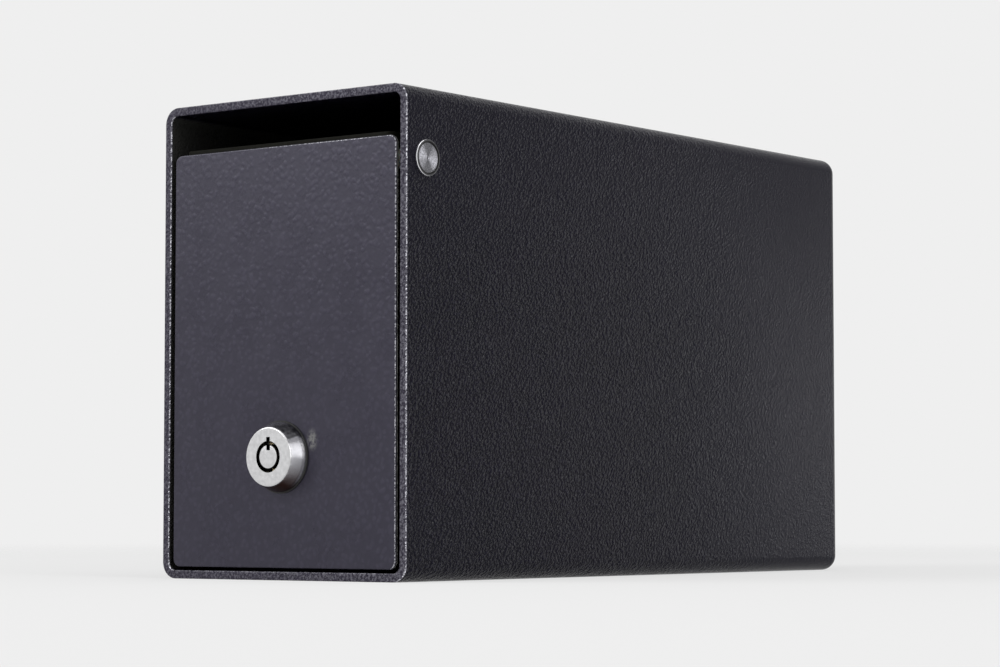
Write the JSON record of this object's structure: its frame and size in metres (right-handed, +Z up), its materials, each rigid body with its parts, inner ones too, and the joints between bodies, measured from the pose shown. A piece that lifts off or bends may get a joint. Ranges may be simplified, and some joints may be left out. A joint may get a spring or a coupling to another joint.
{
  "type": "under counter drop box",
  "caption": "Steel cash drop box for mounting under a counter, with a slot above a top-hinged front door and a tubular cam lock.",
  "frame": {"origin": "under the middle of the whole part, lock head included, on the plane of the flat base", "axes": "+X to the right of someone facing the door, +Y from the door towards the back, +Z up towards the counter"},
  "size_m": [0.1038, 0.26, 0.1524],
  "materials": {
    "body_paint": "pebbled powder coat",
    "door_paint": "fine orange-peel powder coat",
    "inner_paint": "thin matt powder coat",
    "turned_steel": "turned",
    "nylon": "matt",
    "spring_steel": "oiled",
    "gasket_rubber": "matt",
    "lock_chrome": "satin chrome",
    "zinc_plate": "zinc plated",
    "pin_brass": "turned"
  },
  "bodies": {
    "box": {"body_sleeve": "body_paint", "back_pan": "body_paint", "deflector_plate": "inner_paint", "strike_bracket": "inner_paint", "hinge_pin_right": "turned_steel", "hinge_pin_left": "turned_steel", "hinge_spacer_right": "nylon", "hinge_spacer_left": "nylon", "retaining_clip_right": "spring_steel", "retaining_clip_left": "spring_steel"},
    "door": {"door_skin": "door_paint", "door_channel": "door_paint", "lock_gasket": "gasket_rubber", "lock_housing": "lock_chrome", "lock_stator": "zinc_plate", "stator_pin": "spring_steel", "driver_pins": "pin_brass", "driver_springs": "spring_steel", "lock_washer": "zinc_plate", "lock_nut": "zinc_plate"},
    "lock_core": {"lock_rotor": "lock_chrome", "key_pins": "pin_brass", "stop_washer": "zinc_plate", "cam": "zinc_plate", "cam_spring_washer": "spring_steel", "cam_screw": "zinc_plate"}
  },
  "joints": [
    {"name": "door_hinge", "type": "hinge", "parent": "box", "child": "door", "pos_m": [0, -0.11465, 0.1298], "axis": [-1, 0, 0], "range_deg": [0, 115]},
    {"name": "lock_turn", "type": "hinge", "parent": "door", "child": "lock_core", "pos_m": [0, -0.12385, 0.0385], "axis": [0, -1, 0], "range_deg": [0, 90]}
  ]
}
